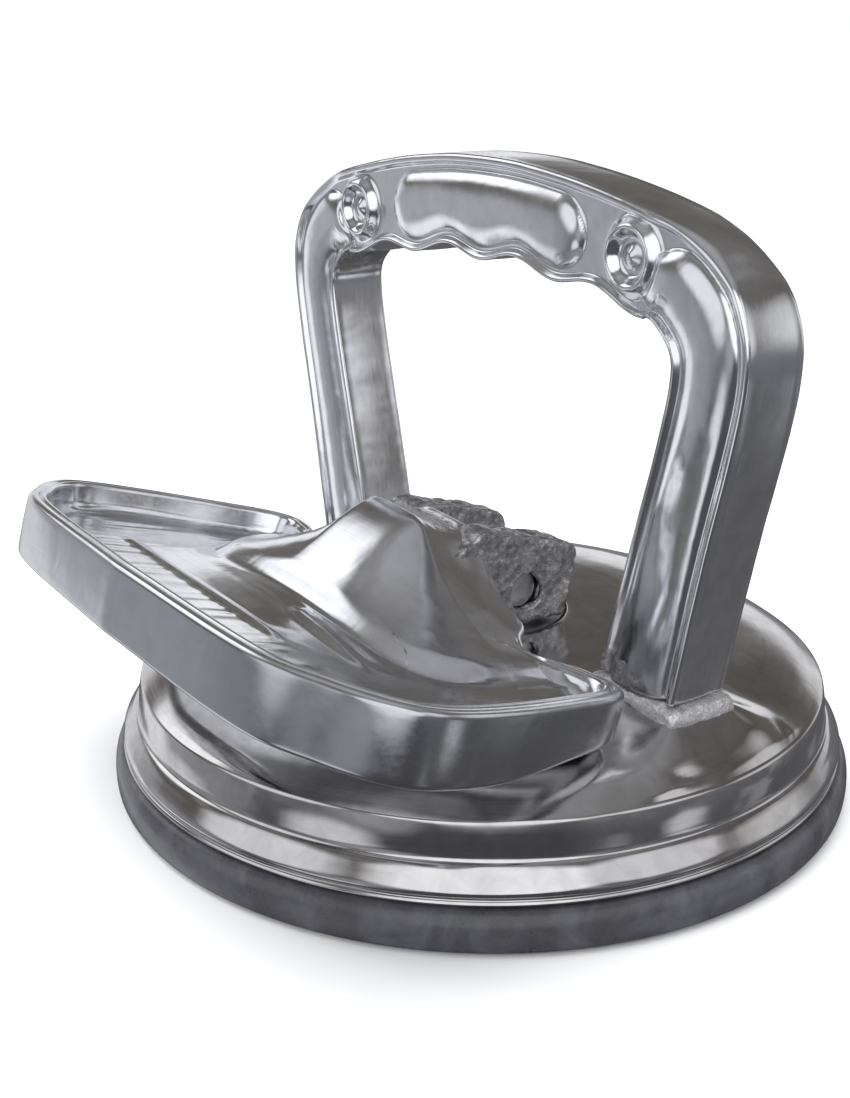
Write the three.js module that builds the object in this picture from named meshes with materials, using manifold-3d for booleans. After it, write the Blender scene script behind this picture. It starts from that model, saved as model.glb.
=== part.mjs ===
// Single-cup vacuum lifter: rubber pad, polished housing, arch handle and a cam lever.
// Millimetres, +Z up. X runs along the handle, -Y points to the tip of the lever,
// and Z = 0 is the sealing face of the pad on the cup's axis.
import * as THREE from 'three';
import { mergeVertices } from 'three/addons/utils/BufferGeometryUtils.js';
import Module from 'manifold-3d';

const wasm = await Module();
wasm.setup();

// ---- driving dimensions ----
const GAP = 0.3;                 // clearance between touching pieces

const PAD_R = 59;                // rubber pad, 118 mm across
const PAD_EDGE_H = 6.6;          // height of its thick edge
const PAD_WEB_H = 5;             // height of its middle

const BEAD_R = 57.3;             // flared bead at the foot of the housing
const SHOULDER_R = 54;           // upper edge of the housing's side wall
const SHELL_T = 3.4;             // wall of the housing
const HUB_TOP = 26;              // top of the housing on its axis

const HANDLE_Y = 3.45;           // middle plane of the handle
const HANDLE_DEPTH = 10.3;
const FOOT_X = 38.2;             // middle of a leg at its foot
const LAND_TOP = 26;             // top of the lands that carry the feet
const POCKET_TOP = 19.6;         // seat of the handle screws inside the housing
const SCREW_R = 2.5;             // M5

const HINGE_Z = 31.8;            // hinge pin above the sealing face, lever released
const LEVER_TILT = THREE.MathUtils.degToRad(16);
const RIM_DROP = 3.65;           // rim plane of the lever below the hinge
const WALL_H = 9.8;              // wall of the lever's tray at its tip
const WALL_T = 3;
const FLOOR_T = 2.4;
const STEM_TRAVEL = 2;           // how far the cam lifts the stem

const STEM_R = 5;
const EYE_R = 7;
const EYE_HALF = 4.2;            // half thickness of the stem's eye
const PIN_R = 2.8;
const SLOT_HALF = 6;             // half width of the slot between the lever's ears
const EAR_HALF = 12;             // outer faces of the ears
const CAM_H = 5.3;               // flat cam face below the hinge

const INSERT_R = 35;
const INSERT_BOTTOM = 5.3;
const INSERT_TOP = 8.3;
const BUSH_R = 7.5;
const BUSH_FLANGE_R = 10;
const WEAR_R = 13.5;
const WEAR_T = 1.2;
const SPRING_R = 13;
const SPRING_WIRE = 1.8;

// ---- materials ----
function material(color, roughness, metalness) {
  return new THREE.MeshStandardMaterial({ color, roughness, metalness });
}
const POLISHED = material(0xd4d6da, 0.12, 1);
const STEEL = material(0x9a9ca0, 0.35, 1);
const BRONZE = material(0xb08d57, 0.4, 1);
const NYLON = material(0xe8e6dc, 0.6, 0);
const RUBBER = material(0x17181a, 0.6, 0);

// ---- solids ----
function solid(geometry) {
  const plain = geometry.index ? geometry.toNonIndexed() : geometry.clone();
  for (const name of Object.keys(plain.attributes)) {
    if (name !== 'position') plain.deleteAttribute(name);
  }
  const merged = mergeVertices(plain, 1e-4);
  return new wasm.Manifold(new wasm.Mesh({
    numProp: 3,
    vertProperties: new Float32Array(merged.attributes.position.array),
    triVerts: new Uint32Array(merged.index.array),
  }));
}

function geometryOf(manifold) {
  const mesh = manifold.getMesh();
  const geometry = new THREE.BufferGeometry();
  geometry.setAttribute('position', new THREE.BufferAttribute(mesh.vertProperties, 3));
  geometry.setIndex(new THREE.BufferAttribute(mesh.triVerts, 1));
  geometry.computeVertexNormals();
  return geometry;
}

function lathe(points, segments = 64) {
  const profile = points.map(([r, z]) => new THREE.Vector2(r, z));
  return new THREE.LatheGeometry(profile, segments).rotateX(Math.PI / 2);
}

function tube(rIn, rOut, zLow, zHigh, segments = 36) {
  return lathe([[rIn, zLow], [rOut, zLow], [rOut, zHigh], [rIn, zHigh], [rIn, zLow]], segments);
}

function rod(r, zLow, zHigh, segments = 36) {
  return lathe([[0, zLow], [r, zLow], [r, zHigh], [0, zHigh]], segments);
}

// A cylinder along X, from xLow to xHigh.
function crossRod(r, xLow, xHigh, y, z, segments = 36) {
  return rod(r, xLow, xHigh, segments).rotateY(Math.PI / 2).translate(0, y, z);
}

// An outline drawn in the XZ plane, with its depth along Y.
function plateXZ(shape, yLow, yHigh, curveSegments = 12) {
  const depth = yHigh - yLow;
  return new THREE.ExtrudeGeometry(shape, { depth, bevelEnabled: false, curveSegments })
    .rotateX(Math.PI / 2).translate(0, yHigh, 0);
}

// An outline drawn in the XY plane, with its depth along Z.
function plateXY(shape, zLow, zHigh, curveSegments = 12) {
  const depth = zHigh - zLow;
  return new THREE.ExtrudeGeometry(shape, { depth, bevelEnabled: false, curveSegments })
    .translate(0, 0, zLow);
}

// An outline drawn in the YZ plane, with its depth along X.
function plateYZ(shape, xLow, xHigh, curveSegments = 12) {
  const depth = xHigh - xLow;
  return new THREE.ExtrudeGeometry(shape, { depth, bevelEnabled: false, curveSegments })
    .rotateY(Math.PI / 2).rotateX(Math.PI / 2).translate(xLow, 0, 0);
}

function named(name, geometry, look) {
  const mesh = new THREE.Mesh(geometry, look);
  mesh.name = name;
  return mesh;
}

// ---- rubber pad ----
function rubberPad() {
  const groove = 1.2;
  const profile = [
    [0, 0], [44, 0], [44.6, groove], [46.4, groove], [47, 0],
    [50.5, 0], [51.1, groove], [52.9, groove], [53.5, 0],
    [PAD_R - 1.6, 0], [PAD_R - 0.4, 0.8], [PAD_R, 2.4], [PAD_R - 0.2, 4.6], [PAD_R - 1, 6],
    [PAD_R - 2.2, PAD_EDGE_H], [INSERT_R + 3, PAD_EDGE_H], [INSERT_R + 1.5, PAD_WEB_H], [0, PAD_WEB_H],
  ];
  return lathe(profile);
}

// ---- housing ----
// Height of the housing's top surface at a radius: a domed hub that falls to the shoulder.
const TOP_PROFILE = [
  [0, 26], [20, 26], [30, 25.4], [36, 24.5], [40, 23.7], [45, 22.2], [50, 20.1], [54, 17.5],
];
function housingTop(r) {
  for (let i = 1; i < TOP_PROFILE.length; i += 1) {
    const [r0, z0] = TOP_PROFILE[i - 1];
    const [r1, z1] = TOP_PROFILE[i];
    if (r <= r1) return z0 + (z1 - z0) * (r - r0) / (r1 - r0);
  }
  return TOP_PROFILE[TOP_PROFILE.length - 1][1];
}

function housing() {
  const lip = PAD_EDGE_H + GAP;
  const flare = [[-0.4, 8.8], [0, 9.5], [-0.2, 10.5], [-0.9, 11.8], [-1.9, 13.1]]
    .map(([inset, z]) => [BEAD_R + inset, z]);
  const top = TOP_PROFILE.slice(1).reverse();
  const ceiling = [0, 20, 30, 40, 46].map((r) => [r, housingTop(r) - SHELL_T]);
  const outline = [
    [SHOULDER_R - SHELL_T, lip], [55.8, lip], [55.8, 7.6],
    [55.5, 8.1], ...flare,
    [54.8, 14.4], [SHOULDER_R + 0.2, 16.4],
    ...top,
    [0, HUB_TOP],
    ...ceiling,
    [SHOULDER_R - SHELL_T, 16], [SHOULDER_R - SHELL_T, lip],
  ];
  let body = solid(lathe(outline));

  for (const side of [-1, 1]) {
    const land = new THREE.Shape();
    const halfX = 8.3;
    const halfY = HANDLE_DEPTH / 2 + 0.5;
    const corner = 2.5;
    land.moveTo(-halfX + corner, -halfY);
    land.lineTo(halfX - corner, -halfY);
    land.absarc(halfX - corner, -halfY + corner, corner, -Math.PI / 2, 0);
    land.absarc(halfX - corner, halfY - corner, corner, 0, Math.PI / 2);
    land.absarc(-halfX + corner, halfY - corner, corner, Math.PI / 2, Math.PI);
    land.absarc(-halfX + corner, -halfY + corner, corner, Math.PI, 1.5 * Math.PI);
    const block = plateXY(land, POCKET_TOP, LAND_TOP, 5).translate(side * FOOT_X, HANDLE_Y, 0);
    const pocket = rod(6.2, 8, POCKET_TOP, 32).translate(side * FOOT_X, HANDLE_Y, 0);
    const hole = rod(SCREW_R + GAP, 8, LAND_TOP + 1, 24).translate(side * FOOT_X, HANDLE_Y, 0);
    body = body.add(solid(block)).subtract(solid(pocket)).subtract(solid(hole));
  }
  const bore = rod(BUSH_R + GAP, 8, HUB_TOP + 1, 48);
  const recess = rod(WEAR_R + GAP, HUB_TOP - WEAR_T - GAP, HUB_TOP + 1, 48);
  return geometryOf(body.subtract(solid(bore)).subtract(solid(recess)));
}

// ---- handle ----
// Underside of the grip: it follows the arch and has four finger hollows.
const FINGER_PITCH = 17;
function gripUnderside(x) {
  const hollow = 0.8 * Math.cos(2 * Math.PI * (x - FINGER_PITCH / 2) / FINGER_PITCH);
  return 81.7 - 0.0026 * x * x + hollow;
}

function handleShape() {
  const foot = LAND_TOP + GAP;
  const outer = [[45.9, foot], [50.2, 48], [53.9, 64.5], [55.1, 73], [54.4, 79], [51, 84.8],
    [43.2, 89.8], [27, 93.5], [12, 95.5], [0, 96]];
  const inner = [[30.5, foot], [36, 47.5], [39.8, 62], [41.5, 70.5], [41, 74.5], [38, 77.4]];
  const vector = ([x, z]) => new THREE.Vector2(x, z);
  const mirrored = ([x, z]) => [-x, z];
  const shape = new THREE.Shape();
  shape.moveTo(outer[0][0], outer[0][1]);
  const over = [...outer.slice(1), ...outer.slice(0, -1).reverse().map(mirrored)];
  shape.splineThru(over.map(vector));
  shape.lineTo(-inner[0][0], inner[0][1]);
  shape.splineThru(inner.slice(1).map(mirrored).map(vector));
  const steps = 48;
  for (let i = 1; i < steps; i += 1) {
    const x = THREE.MathUtils.lerp(-36, 36, i / steps);
    shape.lineTo(x, gripUnderside(x));
  }
  shape.lineTo(inner[5][0], inner[5][1]);
  shape.splineThru(inner.slice(0, 5).reverse().map(vector));
  shape.closePath();
  return shape;
}

function handle() {
  const front = HANDLE_Y - HANDLE_DEPTH / 2;
  const back = HANDLE_Y + HANDLE_DEPTH / 2;
  let body = solid(plateXZ(handleShape(), front, back, 4));

  // Raised pillow along the front of the grip, between the two round bosses.
  const half = 23;
  const edge = (sign) => [...Array(17).keys()].map((i) => {
    const x = THREE.MathUtils.lerp(-half, half, i / 16);
    return new THREE.Vector2(x, 88.6 - 0.0026 * x * x + sign * 3.6);
  });
  const pillow = new THREE.Shape([...edge(-1), ...edge(1).reverse()]);
  body = body.add(solid(plateXZ(pillow, front - 0.7, front + 1)));

  for (const side of [-1, 1]) {
    const boss = tube(2.6, 5.2, -1, 0.9, 32).rotateX(Math.PI / 2);
    boss.translate(side * 33.1, front, 85.4);
    body = body.add(solid(boss));
    const tapped = rod(SCREW_R + GAP, LAND_TOP - 1, 42, 24).translate(side * FOOT_X, HANDLE_Y, 0);
    body = body.subtract(solid(tapped));
  }
  return geometryOf(body);
}

function handleScrew() {
  const seat = POCKET_TOP - GAP - 1 - GAP;
  const shank = rod(SCREW_R, seat - 1, 40, 24);
  const head = rod(4.25, seat - 5, seat, 32);
  const socket = lathe([[0, seat - 6], [2, seat - 6], [2, seat - 2.4], [0, seat - 2.4]], 6);
  return geometryOf(solid(shank).add(solid(head)).subtract(solid(socket)));
}

// ---- stem, bush and spring ----
function stem() {
  const shoulder = 24.8;
  const neckHalf = 4.6;
  const shaft = solid(rod(STEM_R, INSERT_BOTTOM, shoulder, 48));
  const neck = solid(new THREE.BoxGeometry(2 * EYE_HALF, 2 * neckHalf, HINGE_Z - shoulder + 0.4)
    .translate(0, 0, (HINGE_Z + shoulder) / 2));
  const eye = solid(crossRod(EYE_R, -EYE_HALF, EYE_HALF, 0, HINGE_Z, 40));
  const bore = solid(crossRod(PIN_R + GAP, -EYE_HALF - 1, EYE_HALF + 1, 0, HINGE_Z, 36));
  return geometryOf(shaft.add(neck).add(eye).subtract(bore));
}

function returnSpring() {
  const low = INSERT_TOP + GAP + SPRING_WIRE / 2;
  const high = HUB_TOP - SHELL_T - GAP - 1 - GAP - SPRING_WIRE / 2;
  const turns = 3.5;
  const perTurn = 14;
  const points = [];
  for (let i = 0; i <= turns * perTurn; i += 1) {
    const a = 2 * Math.PI * i / perTurn;
    const z = THREE.MathUtils.lerp(low, high, i / (turns * perTurn));
    points.push(new THREE.Vector3(SPRING_R * Math.cos(a), SPRING_R * Math.sin(a), z));
  }
  const path = new THREE.CatmullRomCurve3(points);
  const section = new THREE.Shape();
  section.absarc(0, 0, SPRING_WIRE / 2, 0, 2 * Math.PI);
  return new THREE.ExtrudeGeometry(section, {
    steps: turns * perTurn, extrudePath: path, bevelEnabled: false, curveSegments: 6,
  });
}

// ---- lever ----
// The lever is drawn level, with the hinge pin at its origin and its tip at -Y.
const RIM = -RIM_DROP;                           // rim plane

// Half of the tray's outline, from the middle of the front edge to the rear end of the side.
const TRAY_SIDE = [[0, 62.7], [34, 61.3], [46, 56.4], [53, 50.6], [55, 44], [53.6, 33], [50.4, 20.5],
  [48.2, 13], [45.6, 9], [42, 7.8]];

function trayOutline(inset, rear) {
  const side = TRAY_SIDE.map(([x, f]) => [x, f]);
  const curve = new THREE.SplineCurve([
    ...side.slice(1).reverse().map(([x, f]) => new THREE.Vector2(-x, -f)),
    ...side.map(([x, f]) => new THREE.Vector2(x, -f)),
  ]);
  const points = curve.getPoints(56);
  const inner = points.map((p, i) => {
    const a = points[Math.max(i - 1, 0)];
    const b = points[Math.min(i + 1, points.length - 1)];
    const t = new THREE.Vector2().subVectors(b, a).normalize();
    return new THREE.Vector2(p.x - t.y * inset, p.y + t.x * inset);
  });
  const shape = new THREE.Shape();
  inner.forEach((p, i) => (i === 0 ? shape.moveTo(p.x, p.y) : shape.lineTo(p.x, p.y)));
  rear.forEach(([x, f]) => shape.lineTo(x, -f));
  rear.slice().reverse().forEach(([x, f]) => {
    if (x > 0) shape.lineTo(-x, -f);
  });
  shape.closePath();
  return shape;
}

// Top surface of the tray's floor and hump, above the hinge, at (x, forward).
function trayTop(x, forward) {
  const r = Math.hypot(x, forward);
  const overDome = housingTop(r) + 0.7 - HINGE_Z - STEM_TRAVEL + FLOOR_T;
  const floor = Math.max(overDome, RIM - 4.7);
  const t = THREE.MathUtils.clamp((forward - 20) / 18, 0, 1);
  const rise = (1 - t) * (1 - t) * (1 + 1.5 * t);
  const across = Math.exp(-x * x / 390);
  const peak = RIM + 12.4;
  return floor + (peak - floor) * rise * across;
}

// A slab under trayTop, over a grid of stations.
function traySlab() {
  const nx = 32;
  const nf = 22;
  const xAt = (i) => THREE.MathUtils.lerp(-58, 58, i / nx);
  const fAt = (j) => THREE.MathUtils.lerp(4, 66, j / nf);
  const positions = [];
  for (const drop of [0, FLOOR_T]) {
    for (let j = 0; j <= nf; j += 1) {
      for (let i = 0; i <= nx; i += 1) {
        const x = xAt(i);
        const f = fAt(j);
        positions.push(x, -f, trayTop(x, f) - drop);
      }
    }
  }
  const row = nx + 1;
  const layer = row * (nf + 1);
  const index = [];
  const quad = (a, b, c, d) => index.push(a, b, c, a, c, d);
  for (let j = 0; j < nf; j += 1) {
    for (let i = 0; i < nx; i += 1) {
      const a = j * row + i;
      quad(a, a + row, a + row + 1, a + 1);
      quad(layer + a, layer + a + 1, layer + a + row + 1, layer + a + row);
    }
  }
  for (let i = 0; i < nx; i += 1) {
    const far = nf * row + i;
    quad(i, i + 1, layer + i + 1, layer + i);
    quad(far, layer + far, layer + far + 1, far + 1);
  }
  for (let j = 0; j < nf; j += 1) {
    const left = j * row;
    const right = left + nx;
    quad(left, layer + left, layer + left + row, left + row);
    quad(right, right + row, layer + right + row, layer + right);
  }
  const geometry = new THREE.BufferGeometry();
  geometry.setAttribute('position', new THREE.Float32BufferAttribute(positions, 3));
  geometry.setIndex(index);
  return geometry;
}

// The block of the two ears and their cam faces, in the lever's own frame.
function hingeBlock() {
  const c = Math.cos(LEVER_TILT);
  const s = Math.sin(LEVER_TILT);
  const level = (y, z) => [y * c - z * s, y * s + z * c];
  const heel = level(7.5, -CAM_H);
  const toe = level(-8, -CAM_H);
  const top = RIM + 12.3;
  const rear = heel[0];
  const side = new THREE.Shape();
  side.moveTo(toe[0], toe[1]);
  side.lineTo(heel[0], heel[1]);
  side.lineTo(rear, top - 3.4);
  side.quadraticCurveTo(rear - 0.6, top, rear - 4, top);
  side.lineTo(-11, top);
  side.lineTo(-13, 6);
  side.lineTo(-17, 3.4);
  side.lineTo(-17, 0);
  side.lineTo(-12, -3);
  side.quadraticCurveTo(-9, -5, toe[0], toe[1]);
  const block = solid(plateYZ(side, -EAR_HALF, EAR_HALF, 8));
  const bore = solid(crossRod(PIN_R + GAP, -EAR_HALF - 1, EAR_HALF + 1, 0, 0, 36));
  const lock = solid(rod(2.3, 0, 20, 20).rotateX(-Math.PI / 2).translate((SLOT_HALF + EAR_HALF) / 2, 0, 0));
  return block.subtract(bore).subtract(lock);
}

function lever() {
  const arch = [[36.5, 8.6], [33, 12.5], [29, 13], [25.5, 11.5], [23.5, 8], [18, 8.8], [12, 8], [0, 8]];
  const lip = [[34, 8.6 + WALL_T], [30, 0], [0, 0]];
  const outer = solid(plateXY(trayOutline(0, arch), RIM - WALL_H, RIM));
  const inner = solid(plateXY(trayOutline(WALL_T, lip), RIM - WALL_H - 1, RIM + 1));
  const heel = new THREE.Shape([[0, -30], [-34, -30], [-34, RIM - WALL_H], [0, RIM - 5.6]]
    .map(([y, z]) => new THREE.Vector2(y, z)));
  const wall = outer.subtract(inner).subtract(solid(plateYZ(heel, -60, 60)));
  const cutter = solid(plateXY(trayOutline(0.4, arch), RIM - WALL_H - 5, RIM + 30));
  const floor = solid(traySlab()).intersect(cutter);
  const clearance = 0.6;
  const envelope = TOP_PROFILE.slice().reverse()
    .map(([r, z]) => [r, z + clearance - HINGE_Z - STEM_TRAVEL]);
  const below = solid(lathe([[0, -60], [SHOULDER_R + clearance, -60], ...envelope]));
  const slot = solid(new THREE.BoxGeometry(2 * SLOT_HALF, 30, 60).translate(0, 15 - 9.5, 0));
  return geometryOf(wall.add(floor).subtract(below).add(hingeBlock()).subtract(slot));
}

// ---- assembly ----
const assembly = new THREE.Group();
const hub = HUB_TOP - SHELL_T - GAP;

assembly.add(named('rubber_pad', rubberPad(), RUBBER));
assembly.add(named('housing', housing(), POLISHED));
assembly.add(named('handle', handle(), POLISHED));
for (const [name, side] of [['left', -1], ['right', 1]]) {
  const screw = named(`handle_screw_${name}`, handleScrew(), STEEL);
  screw.position.set(side * FOOT_X, HANDLE_Y, 0);
  const washerTop = POCKET_TOP - GAP;
  const washer = named(`screw_washer_${name}`, tube(SCREW_R + GAP, 5, washerTop - 1, washerTop), STEEL);
  washer.position.copy(screw.position);
  assembly.add(screw, washer);
}

const bush = lathe([
  [STEM_R + GAP, hub - 2], [BUSH_FLANGE_R, hub - 2], [BUSH_FLANGE_R, hub], [BUSH_R, hub],
  [BUSH_R, HUB_TOP - WEAR_T - 2 * GAP], [STEM_R + GAP, HUB_TOP - WEAR_T - 2 * GAP],
  [STEM_R + GAP, hub - 2],
], 48);
assembly.add(named('guide_bush', bush, BRONZE));
assembly.add(named('wear_plate', tube(7, WEAR_R, HUB_TOP - WEAR_T, HUB_TOP), STEEL));
assembly.add(named('spring_seat', tube(BUSH_FLANGE_R + GAP, SPRING_R + 2.5, hub - 1, hub), STEEL));
assembly.add(named('return_spring', returnSpring(), STEEL));

assembly.add(named('stem', stem(), STEEL));
assembly.add(named('insert_plate', tube(STEM_R + GAP, INSERT_R, INSERT_BOTTOM, INSERT_TOP), STEEL));
const washerLow = INSERT_TOP + GAP;
assembly.add(named('stem_lock_washer', tube(STEM_R + GAP, 8.8, washerLow, washerLow + 1), STEEL));
const nutLow = washerLow + 1 + GAP;
const nut = solid(lathe([[0, nutLow], [9.24, nutLow], [9.24, nutLow + 4.5], [0, nutLow + 4.5]], 6))
  .subtract(solid(rod(STEM_R + GAP, nutLow - 1, nutLow + 6, 36)));
assembly.add(named('stem_nut', geometryOf(nut), STEEL));
for (const [name, side] of [['left', -1], ['right', 1]]) {
  const washer = tube(PIN_R + GAP, 6, EYE_HALF + GAP, SLOT_HALF - GAP, 36)
    .rotateY(side * Math.PI / 2).translate(0, 0, HINGE_Z);
  assembly.add(named(`eye_washer_${name}`, washer, NYLON));
}

const swing = new THREE.Group();
swing.position.z = HINGE_Z;
swing.rotation.x = -LEVER_TILT;
swing.add(named('lever', lever(), POLISHED));
const pinHalf = EAR_HALF - 2;
swing.add(named('pivot_pin', crossRod(PIN_R, -pinHalf, pinHalf, 0, 0, 36), STEEL));
const setScrew = solid(rod(2, PIN_R + GAP, 7.6, 20))
  .subtract(solid(lathe([[0, 5.4], [1.1, 5.4], [1.1, 9], [0, 9]], 6)));
const lock = named('pin_lock_screw', geometryOf(setScrew), STEEL);
lock.rotation.x = -Math.PI / 2;
lock.position.x = (SLOT_HALF + EAR_HALF) / 2;
swing.add(lock);
assembly.add(swing);

export default assembly;
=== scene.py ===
import math

import bmesh
import bpy
import numpy as np
from mathutils import Matrix, Vector, noise


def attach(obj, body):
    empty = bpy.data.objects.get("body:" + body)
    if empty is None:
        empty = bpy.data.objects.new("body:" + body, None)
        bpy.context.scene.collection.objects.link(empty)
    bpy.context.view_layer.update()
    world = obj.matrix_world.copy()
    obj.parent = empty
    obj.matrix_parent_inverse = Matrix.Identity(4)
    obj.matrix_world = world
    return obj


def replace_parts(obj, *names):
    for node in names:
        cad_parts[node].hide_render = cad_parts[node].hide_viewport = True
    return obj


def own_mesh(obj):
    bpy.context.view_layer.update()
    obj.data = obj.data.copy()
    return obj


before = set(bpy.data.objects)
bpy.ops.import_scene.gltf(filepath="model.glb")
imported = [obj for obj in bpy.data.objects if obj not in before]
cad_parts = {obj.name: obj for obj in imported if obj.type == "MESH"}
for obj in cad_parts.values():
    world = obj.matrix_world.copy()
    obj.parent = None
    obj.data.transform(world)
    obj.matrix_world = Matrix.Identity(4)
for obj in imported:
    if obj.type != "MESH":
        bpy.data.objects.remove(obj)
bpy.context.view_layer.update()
MM = 0.001

# ---- dimensions in millimetres; X runs along the grip and the lever's tip points to -Y ----
HINGE_Z = 31.8  # height of the lever's pin
STEM_TRAVEL = 2  # how far the cam lifts the stem and the pin
TILT = math.radians(16)  # how far the released lever is raised
RIM = -3.65  # top of the tray's rim, from the pin
WALL_H = 9.8
FLOOR_T = 2.4
TRAY_DEPTH = 4.7
PEAK = RIM + 11.9  # crest of the hump
CREST_AT = 20  # how far forward of the pin the crest lies
CORE_AT = 31.0  # the line inside the tray that its rings of points close on
CORE_HALF = 26
SLOT_HALF = 6  # half width of the slot between the ears
EAR_IN, EAR_OUT = 6.35, 11.75
EAR_TOP = RIM + 12.3
PIN_BORE_R = 3.1
SCREW_BORE_R = 2.3
HANDLE_Y = 3.45  # middle of the handle
FRONT_Y = -1.7
BACK_Y = 8.6
FOOT_X = 38.2
INNER_EDGE_R = 0.7  # rounding of the handle's inner edges
PANEL = -1.05  # sunk level of the handle's faces, inside their raised edges
PAD_TOP = 6.6
PAD_RECESS = 5  # height of the recess for the insert

# (radius, height) of the housing's dome
DOME_PROFILE = [
    (0, 26), (20, 26), (30, 25.4), (36, 24.5), (40, 23.7), (45, 22.2), (50, 20.1), (54, 17.5),
]
# (radius, height) up the housing's edge: thin lip, groove, bead, steep wall and top corner
FLANK_PROFILE = [
    (56.9, 6.7), (57.35, 6.85), (57.5, 7.1), (57.35, 7.4), (57.15, 7.6), (57.15, 7.85),
    (57.35, 8.2), (57.4, 8.6), (57.2, 9.15), (56.8, 9.8), (56.35, 10.45), (55.9, 11.1),
    (55.4, 11.65), (54.98, 12.0), (54.8, 12.6), (54.75, 13.4), (54.6, 15.2), (54.3, 16.9),
    (54.1, 17.35), (53.75, 17.65),
]
# (radius, height) down the middle hole and along the housing's underside to the lip
UNDERSIDE_PROFILE = [
    (13.85, 25.95), (13.8, 25.8), (13.8, 24.5), (7.8, 24.5), (7.8, 22.6), (20, 22.6), (30, 22.0),
    (40, 20.3), (46, 18.5), (50.6, 16), (50.6, 12), (50.6, 6.9), (53.6, 6.7),
]
# (x, z) of the arch's outer edge, from the right foot to the top
OUTER = [
    (45.9, 26.3), (50.2, 48), (53.9, 64.5), (55.1, 73), (54.4, 79), (51, 84.8), (43.2, 89.8),
    (27, 93.5), (12, 95.5), (0, 96),
]
# (x, z) of the arch's inner edge, from the right foot to the grip
INNER_LEG = [
    (30.5, 26.3), (36, 47.5), (39.8, 62), (41.5, 70.5), (41, 74.5), (38, 77.4), (36, 78.1),
]
# points of the outer and the inner edge that lie opposite each other
OPPOSITE = [
    ((45.9, 26.3), (30.5, 26.3)), ((54.9, 71), (41.5, 70)), ((51.6, 84.1), (39.2, 76.6)),
    ((40, 90.8), (33, 79.5)), ((25, 93.8), (22, 81)), ((0, 96), (0, 82.4)),
]
BOSS = (33.1, 85.4)
# (x, forward) of the tray's outline, from the middle of the tip to the right rear corner
TRAY_SIDE = [
    (0, 62.7), (34, 61.3), (46, 56.4), (53, 50.6), (55, 44), (53.6, 33), (50.4, 20.5), (48.2, 13),
    (45.6, 9), (42, 7.8),
]
# (x, forward) of the tray's open rear edge, from the right to the middle
REAR_EDGE = [
    (36.5, 8.6), (33, 12.5), (29, 13), (25.5, 11.5), (23.5, 8.7), (18, 9.4), (12, 8.8), (0, 8.5),
]
# (x, share of the peak) along the crest of the hump
CREST_PROFILE = [
    (-44, 0), (-34, 0.07), (-26, 0.16), (-20, 0.29), (-15, 0.45), (-12, 0.59), (-10, 0.71),
    (-8.5, 0.83), (-7.2, 0.94), (-6.2, 1.0), (-3, 1.0), (0, 0.995), (4, 0.98), (6.5, 0.93),
    (8.3, 0.83), (10.2, 0.70), (12.6, 0.56), (15.6, 0.43), (19.5, 0.30), (26, 0.16), (34, 0.07),
    (44, 0),
]
# (distance in from the outline, height) over the tray's rim, with a thin groove in its middle
RIM_PROFILE = [
    (1.2, 0.02), (1.4, 0.0), (1.55, -0.08), (1.68, -0.26), (1.8, -0.34), (1.92, -0.26),
    (2.05, -0.08), (2.25, 0.0), (2.5, -0.03), (2.72, -0.12), (2.9, -0.3), (3.0, -0.55),
]


# ---- small mathematics ----
def smooth(edge0, edge1, x):
    t = np.clip((np.asarray(x, float) - edge0) / (edge1 - edge0), 0, 1)
    return t * t * (3 - 2 * t)


def soft_max(a, b, k):
    h = np.clip(0.5 + 0.5 * (a - b) / k, 0, 1)
    return b + (a - b) * h + k * h * (1 - h)


def catmull(points, per_span):
    """A smooth curve through the points."""
    p = np.array(points, float)
    p = np.vstack([2 * p[0] - p[1], p, 2 * p[-1] - p[-2]])
    out = []
    for i in range(1, len(p) - 2):
        a, b, c, d = p[i - 1:i + 3]
        square, cube = 2 * a - 5 * b + 4 * c - d, 3 * b - a - 3 * c + d
        for t in np.arange(per_span) / per_span:
            out.append(0.5 * (2 * b + (c - a) * t + square * t * t + cube * t ** 3))
    out.append(p[-2])
    return np.array(out)


def lengths(points):
    """Distance along a line of points to each of them."""
    steps = np.linalg.norm(np.diff(points, axis=0), axis=1)
    return np.concatenate([[0], np.cumsum(steps)])


def resample(points, count):
    s = lengths(points)
    at = np.linspace(0, s[-1], count)
    return np.stack([np.interp(at, s, column) for column in points.T], 1)


def blur_loop(values, sigma):
    """Gaussian smoothing along a closed loop."""
    n = len(values)
    reach = int(3 * sigma) + 1
    offsets = np.arange(-reach, reach + 1)
    weights = np.exp(-0.5 * (offsets / sigma) ** 2)
    weights /= weights.sum()
    index = (np.arange(n)[:, None] + offsets) % n
    v = np.asarray(values, float)
    if v.ndim == 1:
        return (v[index] * weights).sum(1)
    return (v[index] * weights[None, :, None]).sum(1)


def unit(vectors):
    return vectors / np.linalg.norm(vectors, axis=1)[:, None]


def mirrored(half):
    """A line of points that ends at x = 0, carried on by its mirror image."""
    return np.vstack([half, (np.asarray(half) * [-1, 1])[-2::-1]])


def stacked(*columns):
    """Points from their separate coordinates, any of which may be one number."""
    return np.column_stack(np.broadcast_arrays(*columns))


def turn(count):
    return np.linspace(0, 2 * math.pi, count, endpoint=False)


def circle(radius, count, centre_x=0):
    return [(centre_x + radius * math.cos(a), radius * math.sin(a)) for a in turn(count)]


def housing_top(r):
    radii, heights = zip(*DOME_PROFILE)
    return np.interp(r, radii, heights)


# ---- meshes ----
def linked(name, mesh, material):
    mesh.materials.append(material)
    obj = bpy.data.objects.new(name, mesh)
    bpy.context.scene.collection.objects.link(obj)
    return obj


def shade_smooth(obj):
    for polygon in obj.data.polygons:
        polygon.use_smooth = True


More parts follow.
